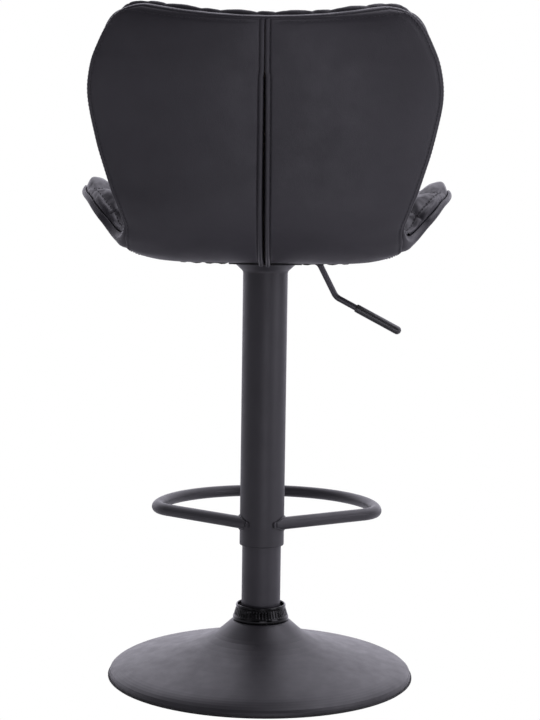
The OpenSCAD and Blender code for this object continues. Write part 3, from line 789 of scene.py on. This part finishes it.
def quilted_pad():
    """The seat pad: quilted cover over foam, inflated between its stitch lines."""
    quilt = QuiltedFace()
    lo = quilt.uv(quilt.flat_loop).min(0) - 1.2
    hi = quilt.uv(quilt.flat_loop).max(0) + 1.2
    iu = np.arange(math.floor(lo[0] * LATTICE), math.ceil(hi[0] * LATTICE))
    iv = np.arange(math.floor(lo[1] * LATTICE), math.ceil(hi[1] * LATTICE))
    grid = np.stack(np.meshgrid(iu, iv, indexing="ij"), -1).reshape(-1, 2) / LATTICE
    q = quilt.from_uv(grid)
    dist, place = quilt.side(q)
    keep = dist < quilt.reach - 2.0
    q, dist, place = q[keep], dist[keep], place[keep]
    n = len(quilt.flat_loop)
    edge = quilt.flat_loop + quilt.normal * quilt.reach
    verts = np.concatenate([edge, q])
    dist = np.concatenate([np.full(n, quilt.reach), dist])
    place = np.concatenate([np.arange(n, dtype=float), place])
    flat, orig, faces = triangles(verts, n)
    dist, place = dist[orig], place[orig]
    base = quilt.base(flat, dist, place)
    normal = vertex_normals(base, faces)
    if (normal * (seat_point(LE / 2, 0.0, 30.0) - seat_point(LE / 2, 0.0, 0.0))).sum() < 0:
        faces = [f[::-1] for f in faces]
        normal = -normal
    uv = quilt.uv(flat)
    seam = smoothstep(np.clip((quilt.reach - dist) / 7.0, 0, 1))
    top = np.clip((flat[:, 1] - quilt.top + 30) / 20, 0, 1)
    seam *= 1 - FLATTER * np.clip(dist / 6, 0, 1) * top
    points = base + normal * ((puff_shape(uv) * PUFF - CREASE) * seam)[:, None]
    off = np.abs(uv - np.round(uv))
    on_line = (off.min(1) < 0.02) | (dist > quilt.reach - 0.5)
    points = inflate("pad_cloth", points, faces, on_line, CLOTH_CAP)
    return quilt, flat, dist, points, faces, on_line


def finish_pad(quilt, flat, dist, points, faces, on_line):
    """Closes the inflated cover over its foam, sharpens the stitch lines and refines the mesh."""
    n = len(quilt.flat_loop)
    edge = np.argsort(np.where(dist > quilt.reach - 1e-6, -dist, 0), kind="stable")[:n]
    place = {i: quilt.edge_place(flat[i]) for i in edge}
    edge = np.array(sorted(edge, key=lambda i: place[i]))
    a, x = quilt.loop.T
    rim = quilt.nearest_rim(seat_point(a, x, thickness(a, x)))
    tuck = rim["low"] + rim["up"] * (quilt.seam(a) - 1.6)[:, None] - rim["out"] * 2.4
    rows = np.linspace(FACE_INSET + 8, LE - FACE_INSET - 8, 44)
    cols = np.linspace(-1, 1, 27)
    aa, ss = np.meshgrid(rows, cols, indexing="ij")
    ww = inner_width(aa, FACE_INSET + 8)
    inner = np.stack([aa.ravel(), (ss * ww).ravel()], -1)
    ax = np.concatenate([quilt.loop, inner])
    _, ids, back_faces = triangles(ax, n)
    used = ax[ids]
    back = seat_point(used[:, 0], used[:, 1], PAD_BACK)
    first = len(points)
    verts = np.concatenate([points, tuck, back])
    start = first + n
    where = {o: k for k, o in enumerate(ids)}
    all_faces = list(faces)
    for i in range(n):
        j = (i + 1) % n
        all_faces.append([edge[i], edge[j], first + j, first + i])
        all_faces.append([first + i, first + j, start + where[j], start + where[i]])
    all_faces += [[start + k for k in f] for f in back_faces]
    obj = new_object("quilted_pad", verts, [[int(k) for k in f] for f in all_faces],
                     "faux_leather", "seat_unit")
    bm = bmesh.new()
    bm.from_mesh(obj.data)
    bmesh.ops.join_triangles(bm, faces=bm.faces, angle_face_threshold=0.7, angle_shape_threshold=0.9)
    crease = bm.edges.layers.float.new("crease_edge")
    lined = on_line & (dist < quilt.reach - 0.5)
    for e in bm.edges:
        p, q = e.verts[0].index, e.verts[1].index
        if p < first and q < first and lined[p] and lined[q]:
            e[crease] = 0.75
    bmesh.ops.recalc_face_normals(bm, faces=bm.faces)
    bm.to_mesh(obj.data)
    bm.free()
    subdivide(obj)
    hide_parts("quilted_cover", "seat_foam")


def apply_modifiers(obj):
    deps = bpy.context.evaluated_depsgraph_get()
    mesh = bpy.data.meshes.new_from_object(obj.evaluated_get(deps))
    obj.modifiers.clear()
    old = obj.data
    obj.data = mesh
    bpy.data.meshes.remove(old)


def subdivide(obj):
    mod = obj.modifiers.new("subdivision", "SUBSURF")
    mod.levels = mod.render_levels = 1
    apply_modifiers(obj)
    obj.data.shade_smooth()


def quilt_thread(quilt):
    """Thread along the stitch lines, sunk in the creases."""
    lo = quilt.uv(quilt.flat_loop).min(0) - 1.2
    hi = quilt.uv(quilt.flat_loop).max(0) + 1.2
    runs = []
    for axis in (0, 1):
        for k in range(math.ceil(lo[axis]), math.floor(hi[axis]) + 1):
            t = np.arange(lo[1 - axis], hi[1 - axis], 0.04)
            uv = np.empty((len(t), 2))
            uv[:, axis], uv[:, 1 - axis] = k, t
            q = quilt.from_uv(uv)
            dist, place = quilt.side(q)
            ok = dist < quilt.reach - 7
            if ok.sum() < 6:
                continue
            first, last = np.flatnonzero(ok)[[0, -1]]
            q, dist, place = q[first:last + 1], dist[first:last + 1], place[first:last + 1]
            mid = quilt.base(q, dist, place)
            du = quilt.base(q + [0.6, 0], *quilt.side(q + [0.6, 0])) - mid
            dv = quilt.base(q + [0, 0.6], *quilt.side(q + [0, 0.6])) - mid
            normal = unit(np.cross(dv, du))
            up = normal @ np.array([0, -math.cos(math.radians(RECLINE)), math.sin(math.radians(RECLINE))])
            normal *= np.sign(up.sum())
            runs.append((mid - normal * (CREASE - 0.55), normal))
    stitches("quilt_thread", runs, "seat_unit", length=4.4, gap=1.7, radius=0.5)


# ---------------------------------------------------------------- edge band


# the band's section: depth from the outside face and distance outwards
BAND_SECTION = ((11.3, -2.8), (11.1, -0.4), (10.9, 0.5), (10.3, 1.1), (8.8, 1.5), (6.6, 1.8), (4.6, 1.8),
                (2.6, 1.5), (1.3, 1.0), (0.5, 0.3), (0.15, -0.9), (0.5, -2.2), (3.0, -3.0), (8.0, -3.2))
# under the seat it folds inwards: place in the section (None adds a point), inset and depth
BAND_LIP = ((10, 2.6, 0.15), (11, 12, 1.2), (None, 27, 2.4), (12, 27, 3.2), (13, 8, 3.0))
LIP_END = 350  # the fold ends where the rear covers begin
SEAT_MIDDLE = (200.0, 0.0)


def edge_band():
    """Boxing strip over the outer half of the rim, rolled at both seams."""
    rim = Rim(0.4, 3.0)
    n = len(rim.loop)
    s = np.arange(n) / n
    swell = 1 + 0.06 * np.sin(2 * math.pi * 23 * s) + 0.05 * np.sin(2 * math.pi * 61 * s + 1.3)
    a = rim.loop[:, 0]
    narrow = curve(SEAM_AT, a)
    pts = [rim.at(d * narrow, o * np.where(o > 0, swell, 1.0)) for d, o in BAND_SECTION]
    lip = smoothstep(np.clip((LIP_END - a) / 30, 0, 1))[:, None]
    for place, inset, depth in BAND_LIP:
        moved = rim.loop + unit(SEAT_MIDDLE - rim.loop) * inset
        under = seat_point(moved[:, 0], moved[:, 1], depth)
        point = pts[11 if place is None else place] * (1 - lip) + under * lip
        if place is None:
            pts.insert(12, point)
        else:
            pts[place] = point
    verts = np.stack(pts, 1).reshape(-1, 3)
    faces = grid_faces(n, len(pts), True, True)
    obj = new_object("edge_band", verts, faces, "faux_leather", "seat_unit")
    tidy_normals(obj)
    subdivide(obj)
    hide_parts("edge_band")
    runs = []
    for depth, out in ((9.3, 1.2), (1.9, 1.05)):
        p = rim.at(depth * narrow, np.full(n, out))
        up = rim.up * (0.75 if depth > 5 else -0.75)
        runs.append((np.concatenate([p, p[:1]]), unit(np.concatenate([rim.out + up, (rim.out + up)[:1]]))))
    stitches("edge_topstitch", runs, "seat_unit", length=3.4, gap=1.5, radius=0.3, lift=-0.12)


def tidy_normals(obj):
    bm = bmesh.new()
    bm.from_mesh(obj.data)
    bmesh.ops.recalc_face_normals(bm, faces=bm.faces)
    bm.to_mesh(obj.data)
    bm.free()


# ---------------------------------------------------------------- rear covers

SLIT_A = LE - 67
REAR_A0 = L1 + 2
HEM_W = 5.6


def slit_half(a):
    below = SLIT_A - a
    return 0.12 + 1.05 * np.clip(below / 9, 0, 1) + 0.5 * np.clip(below / 150, 0, 1)


REAR_W = [(REAR_A0, 130), (290, 141), (300, 151), (312, 160), (325, 165.5), (345, 166)]


def rear_width(a):
    """Half width of the rear covers; their lower corners are rounded inside the rim."""
    return np.where(a < 345, np.minimum(inner_width(a, 1.2), curve(REAR_W, a)), inner_width(a, 1.2))


def from_edges(first, last, near, step):
    """Stations between two edges, close together beside each of them."""
    middle_run = np.arange(first + near[-1] + step, last - near[-1] - step / 2, step)
    return np.concatenate([first + np.array(near), middle_run, last - np.array(near)[::-1]])


def rear_cover(name, sign):
    """One rear panel: a thin padded skin, with a folded hem along the middle."""
    near = [0, 0.25, 0.8, 1.7, 3.0, 4.5, 6.5, 9.0, 12.0]
    rows = from_edges(REAR_A0, LE - 1.2, near, 3.6)
    hem = np.array([0, 0.2, 0.7, 1.5, 2.6, 3.7, 4.6, 5.2, 5.6, 6.0, 6.5, 7.2, 8.4, 10.4, 13.5])
    far = np.array([12.0, 9.0, 6.5, 4.5, 3.0, 1.7, 0.8, 0.25, 0])
    spread = 46
    pts = []
    for a in rows:
        g, w = float(slit_half(a)), float(rear_width(a))
        x = np.concatenate([g + hem, np.linspace(g + hem[-1], w - far[0], spread + 2)[1:-1], w - far])
        pts.append(np.stack([np.full(len(x), a), x], -1))
    pts = np.array(pts)
    a, x = pts[..., 0], pts[..., 1]
    e_gap = x - slit_half(a)
    slope = (rear_width(a + 1) - rear_width(a - 1)) / 2
    e_out = (rear_width(a) - x) / np.sqrt(1 + slope ** 2)
    e_top, e_low = LE - 1.2 - a, a - REAR_A0
    e_edge = np.minimum(e_out, np.minimum(e_top, e_low))
    swell = 2.6 * (1 - np.exp(-np.maximum(e_edge, 0) / 24)) * (1 - np.exp(-np.maximum(e_gap - HEM_W, 0) / 30))
    wave = (0.25 * np.sin(x / 31 + a / 47) + 0.18 * np.sin(x / 17 - a / 23 + 2)
            + 0.12 * np.sin(a / 9 + x / 60)) * np.clip(e_edge / 20, 0, 1) * np.clip(e_gap / 25, 0, 1)
    pull = (0.22 * np.sin(2 * math.pi * a / 8.5 + 0.6 * np.sin(a / 13))
            * np.exp(-((e_gap - HEM_W - 4) / 4) ** 2))
    groove = 1.15 * np.exp(-((e_gap - HEM_W - 0.3) / 0.75) ** 2)
    lift = (0.55 + 0.75 * np.clip((SLIT_A - a) / 140, 0, 1)) * (1.0 if sign > 0 else 1.45)
    fold = lift * np.clip(np.sin(np.clip(e_gap / HEM_W, 0, 1) * math.pi), 0, 1) ** 0.6
    hem_end = 2.4 * np.exp(-(e_low / 9) ** 2) * np.exp(-(np.maximum(e_gap - 3, 0) / 4.5) ** 2)
    out = swell + wave + pull + fold + hem_end - groove
    seam = 0.7 * np.exp(-((e_edge - 5.0) / 0.8) ** 2)
    out -= seam * (e_gap > HEM_W + 2)
    corner = np.minimum(e_edge, e_gap)
    radius = 1.5
    roll = np.where(corner < radius, radius - np.sqrt(np.maximum(0, radius ** 2 - (radius - corner) ** 2)), 0)
    outer = seat_point(a, sign * x, -out + roll)
    back_x = np.maximum(0.06, x - slit_half(a) * np.clip(1 - e_gap / 4, 0, 1))
    inner = seat_point(a, sign * back_x, np.full(a.shape, 3.9))
    inner[0] = seat_point(a[0], sign * back_x[0], 2.6)
    drop = np.exp(-(e_low / 5) ** 2) * np.exp(-(np.maximum(e_gap - 3.2, 0) / 3.6) ** 2)
    outer[..., 2] -= 2.6 * drop
    inner[..., 2] -= 2.6 * drop
    n, m = a.shape
    faces = grid_faces(n, m) + grid_faces(n, m, start=n * m, flip=True)
    rim = ([(0, j) for j in range(m)] + [(i, m - 1) for i in range(1, n)]
           + [(n - 1, j) for j in range(m - 2, -1, -1)] + [(i, 0) for i in range(n - 2, 0, -1)])
    for k, (i, j) in enumerate(rim):
        i2, j2 = rim[(k + 1) % len(rim)]
        faces.append([i * m + j, i2 * m + j2, n * m + i2 * m + j2, n * m + i * m + j])
    verts = np.concatenate([outer.reshape(-1, 3), inner.reshape(-1, 3)])
    obj = new_object(name, verts, faces, "faux_leather_rear", "seat_unit")
    tidy_normals(obj)
    normals = unit(np.cross(np.gradient(outer, axis=0), np.gradient(outer, axis=1)))
    normals *= np.sign((normals[..., 1]).sum())
    return obj, outer, normals, e_gap


def rear_covers():
    """Both rear panels, with their seam stitching."""
    runs = []
    for name, sign in (("rear_cover_left", 1), ("rear_cover_right", -1)):
        obj, outer, normals, e_gap = rear_cover(name, sign)
        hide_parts(name)
        if sign == 1:
            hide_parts("rear_padding")
        j = int(np.argmin(np.abs(e_gap[60] - HEM_W - 0.3)))
        keep = slice(4, len(outer) - 4)
        runs.append((outer[keep, j], normals[keep, j]))
        k = outer.shape[1] - 1 - 4
        runs.append((outer[keep, k], normals[keep, k]))
        runs.append((outer[-6, 16:-4], normals[-6, 16:-4]))
    stitches("rear_stitching", runs, "seat_unit", length=3.4, gap=1.5, radius=0.4, lift=0.1)


# ---------------------------------------------------------------- dust cover


def dust_cover():
    """Thin black lining under the seat, stapled round the plate, gathered at its rear edge."""
    a1 = L1 + 3
    rows = np.concatenate([np.linspace(4, 118, 34), [118.8], np.linspace(122, a1 - 14, 42),
                           a1 - np.array([12, 10, 8, 6.5, 5, 3.5, 2.2, 1, 0]), np.arange(a1 + 3, a1 + 62, 3)])
    cols = np.concatenate([np.linspace(-1, -0.4, 25), np.linspace(-0.38, 0.38, 39), np.linspace(0.4, 1, 25)])
    a, s = np.meshgrid(rows, cols, indexing="ij")
    w = inner_width(a, 4.2)
    x = np.where(np.abs(s) <= 0.4, 88 * s / 0.4, np.sign(s) * (88 + (w - 88) * (np.abs(s) - 0.4) / 0.6))
    e = np.minimum(a - 4, w - np.abs(x))
    slack = 0.8 * np.sin(x / 19 + 1) * np.sin(a / 23) * np.clip(e / 25, 0, 1)
    depth = 4.7 + slack * 0.5
    tail = smoothstep(np.clip(1 - np.abs(a1 - a) / 13, 0, 1))
    scallop = np.abs(np.sin(math.pi * x / 15.5 + 0.5 * np.sin(x / 37))) ** 0.6
    side = np.clip((150 - np.abs(x)) / 30, 0, 1)
    depth = depth - tail * side * (5.4 + 2.6 * scallop)
    p = seat_point(a, x, depth)
    n, m = a.shape
    faces = []
    for f in grid_faces(n, m):
        c = p.reshape(-1, 3)[f].mean(0)
        at = a.reshape(-1)[f].mean()
        under_rear = at > a1 and np.abs(x.reshape(-1)[f]).mean() < max(120, rear_width(at) - 12)
        if not (abs(c[0]) < 88 and -92 < c[1] < 58 or under_rear):
            faces.append(f)
    obj = new_object("dust_cover", p.reshape(-1, 3), faces, "nonwoven", "seat_unit")
    first, *others = (p.reshape(-1, 3)[np.array(faces)[:, k]] for k in range(4))
    halves = zip(others[:2], others[1:])
    area = sum(0.5 * np.linalg.norm(np.cross(b - first, c - first), axis=1).sum() for b, c in halves)
    mod = obj.modifiers.new("thick", "SOLIDIFY")
    mod.thickness = 0.0004
    mod.offset = 0
    apply_modifiers(obj)
    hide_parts("dust_cover")


# ---------------------------------------------------------------- column details

FOOT_BAR, FOOT_TURN, FOOT_ROOT = 36.5, -2.0, 6.0  # degrees, degrees and mm, as in part.scad
SLEEVE_FLARE = 9.4  # of the sleeve's upper end beyond its tube


COLLAR_STRETCH = 1.12  # the lip stands a little higher than the CAD solid
FLUTES, FLUTE_DEPTH = 50, 1.1
FLUTE_LOW, FLUTE_HIGH, FLUTE_END = 6.0, 15.2, 1.6


def collar():
    """Locking collar: smooth foot, fluted cone and a thin raised lip clear of the tube."""
    z = node_box("base_collar")[0][2]
    profile = np.array([
        (25.4, 0.0), (34.6, 0.0), (35.3, 0.3), (35.8, 1.2), (35.9, 2.6), (35.8, 4.2), (35.5, 5.3),
        (35.0, 5.9), (34.7, 6.3), (34.4, 7.0), (33.9, 8.6), (33.3, 10.4), (32.7, 12.2), (32.2, 13.8),
        (31.9, 14.7), (31.75, 15.2), (31.8, 15.7), (32.0, 16.2), (32.15, 16.8), (32.1, 17.6),
        (31.8, 18.3), (31.3, 18.7), (30.8, 18.75), (30.3, 18.5), (30.0, 18.0), (29.9, 17.2),
        (29.7, 13.0), (28.6, 11.6), (25.4, 11.4)])

    def flute(theta, r, height):
        h = (height - z) / COLLAR_STRETCH
        depth = np.clip((h - FLUTE_LOW) / FLUTE_END, 0, 1) * np.clip((FLUTE_HIGH - h) / FLUTE_END, 0, 1)
        groove = np.clip(1 - ((theta * FLUTES / (2 * math.pi)) % 1 - 0.5) ** 2 * 16, 0, 1) ** 0.6
        return r - FLUTE_DEPTH * depth * groove * (r > 31)

    profile = profile * [1, COLLAR_STRETCH] + [0, z]
    obj = lathe("collar", profile, "collar_plastic", "base", FLUTES * 12, flute)
    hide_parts("base_collar")


def footrest_welds():
    """Rippled fillet beads where the two bars of the footrest meet the sleeve."""
    sleeve = node_box("sleeve_tube")[1][0] - SLEEVE_FLARE
    lo, hi = node_box("footrest")
    bar, height = (hi[2] - lo[2]) / 2, (hi[2] + lo[2]) / 2
    ring, around = 120, 10
    for name, side in (("weld_left", 1), ("weld_right", -1)):
        angle = math.radians(FOOT_BAR * -side + FOOT_TURN)
        axis = np.array([side * math.cos(angle), side * math.sin(angle), 0.0])
        across = np.array([-axis[1], axis[0], 0.0])
        turn = math.radians(FOOT_TURN)
        root = np.array([side * (sleeve - 1), FOOT_ROOT])
        root = np.array([root[0] * math.cos(turn) - root[1] * math.sin(turn),
                         root[0] * math.sin(turn) + root[1] * math.cos(turn), height])
        verts = []
        for k in range(ring):
            t = 2 * math.pi * k / ring
            ray = math.cos(t) * across + math.sin(t) * np.array([0, 0, 1.0])
            start = root + ray * bar
            b = start[:2] @ axis[:2]
            reach = -b + math.sqrt(max(0.0, b * b - start[:2] @ start[:2] + sleeve ** 2))
            on = start + axis * reach
            bead = 2.1 + 0.22 * math.sin(t * 26) + 0.15 * math.sin(t * 7 + side)
            for j in range(around):
                f = 2 * math.pi * j / around
                verts.append(on + bead * (math.cos(f) * ray * 0.9 + math.sin(f) * axis))
        new_object(name, verts, grid_faces(ring, around, True, True), "powder_coat_column", "seat_unit")


# ---------------------------------------------------------------- finish of the CAD nodes


def paint_cad():
    for part in frame["record"]["subparts"]:
        material = MATERIALS.get(part["material_slot"], MATERIALS["nonwoven"])
        mesh = NODES[part["node"]].data
        mesh.materials.clear()
        mesh.materials.append(material)
        for poly in mesh.polygons:
            poly.material_index = 0


# ---------------------------------------------------------------- stage

# brightness of the surroundings by direction, each axis running from 0 to 1
BACKDROP = ((0.0, 1.9), (1.0, 0.01), (0.2, 1.75), (0.42, 0.5), (0.55, 0.06), (0.7, 0.02))
CEILING = ((0.0, 0.0), (1.0, 0.3), (0.5, 0.0), (0.62, 0.02))
LIGHTS = (  # name, place, target, size, power
    ("key", (-2.1, 1.0, 0.9), (0, 0, 0.5), 1.3, 15),
    ("side", (2.0, 1.5, 1.2), (0, 0, 0.45), 1.4, 3),
    ("fill", (-0.3, 1.5, 0.03), (0, 0.2, 0.6), 0.8, 5.0),
    ("top", (-1.3, 0.0, 2.5), (0, 0, 0.3), 2.2, 32))


def make_stage():
    """Pale floor, soft lights and a bright even background."""
    mat = bpy.data.materials.new("floor")
    mat.use_nodes = True
    nodes, links = mat.node_tree.nodes, mat.node_tree.links
    bsdf = nodes["Principled BSDF"]
    bsdf.inputs["Roughness"].default_value = 0.7
    noise = nodes.new("ShaderNodeTexNoise")
    noise.inputs["Scale"].default_value = 6
    ramp = nodes.new("ShaderNodeValToRGB")
    ramp.color_ramp.elements[0].color = (0.74, 0.74, 0.74, 1)
    ramp.color_ramp.elements[1].color = (0.78, 0.78, 0.78, 1)
    links.new(noise.outputs["Fac"], ramp.inputs["Fac"])
    links.new(ramp.outputs["Color"], bsdf.inputs["Base Color"])
    pale = nodes.new("ShaderNodeEmission")
    path = nodes.new("ShaderNodeLightPath")
    mix = nodes.new("ShaderNodeMixShader")
    links.new(path.outputs["Is Camera Ray"], mix.inputs["Fac"])
    links.new(bsdf.outputs["BSDF"], mix.inputs[1])
    links.new(pale.outputs["Emission"], mix.inputs[2])
    links.new(mix.outputs["Shader"], nodes["Material Output"].inputs["Surface"])
    mesh = bpy.data.meshes.new("floor")
    size, rows = 14.0, 8
    steps = np.linspace(-size / 2, size / 2, rows + 1)
    verts = [(x, y, -0.0005) for x in steps for y in steps]
    mesh.from_pydata(verts, [], grid_faces(rows + 1, rows + 1, flip=True))
    floor = bpy.data.objects.new("floor", mesh)
    bpy.context.scene.collection.objects.link(floor)
    mesh.materials.append(mat)
    make_world()
    for light in LIGHTS:
        add_light(*light)
    bpy.context.scene.view_settings.view_transform = "Standard"


def make_world():
    """White to the camera; for light, a white backdrop in front of a dark room, under a soft ceiling."""
    world = bpy.data.worlds.new("world")
    bpy.context.scene.world = world
    world.use_nodes = True
    nodes, links = world.node_tree.nodes, world.node_tree.links
    lit = nodes["Background"]
    white = nodes.new("ShaderNodeBackground")
    white.inputs["Color"].default_value = (1, 1, 1, 1)
    coords = nodes.new("ShaderNodeTexCoord")
    split = nodes.new("ShaderNodeSeparateXYZ")
    links.new(coords.outputs["Generated"], split.inputs[0])

    def ramp(axis, stops):
        node = nodes.new("ShaderNodeValToRGB")
        spare = node.color_ramp.elements
        for k, (at, level) in enumerate(stops):
            stop = spare[k] if k < 2 else spare.new(at)
            stop.position, stop.color = at, (level, level * 0.97, level * 1.1, 1)
        shift = nodes.new("ShaderNodeMapRange")
        shift.inputs["From Min"].default_value = -1.0
        links.new(split.outputs[axis], shift.inputs["Value"])
        links.new(shift.outputs["Result"], node.inputs["Fac"])
        return node.outputs["Color"]

    mix = nodes.new("ShaderNodeMix")
    mix.data_type = "RGBA"
    mix.blend_type = "ADD"
    mix.inputs[0].default_value = 1.0
    links.new(ramp("Y", BACKDROP), mix.inputs[6])
    links.new(ramp("Z", CEILING), mix.inputs[7])
    links.new(mix.outputs[2], lit.inputs["Color"])
    path = nodes.new("ShaderNodeLightPath")
    shade = nodes.new("ShaderNodeMixShader")
    links.new(path.outputs["Is Camera Ray"], shade.inputs["Fac"])
    links.new(lit.outputs["Background"], shade.inputs[1])
    links.new(white.outputs["Background"], shade.inputs[2])
    links.new(shade.outputs["Shader"], nodes["World Output"].inputs["Surface"])


def add_light(name, place, target, size, power):
    light = bpy.data.lights.new(name, "AREA")
    light.shape = "DISK"
    light.size = size
    light.energy = power
    light.color = (1.0, 0.97, 1.1)
    obj = bpy.data.objects.new(name, light)
    obj.location = place
    obj.rotation_euler = (Vector(target) - Vector(place)).to_track_quat("-Z", "Y").to_euler()
    bpy.context.scene.collection.objects.link(obj)


make_camera()
paint_cad()
quilt, *cover = quilted_pad()
finish_pad(quilt, *cover)
quilt_thread(quilt)
edge_band()
rear_covers()
dust_cover()
collar()
footrest_welds()
make_stage()
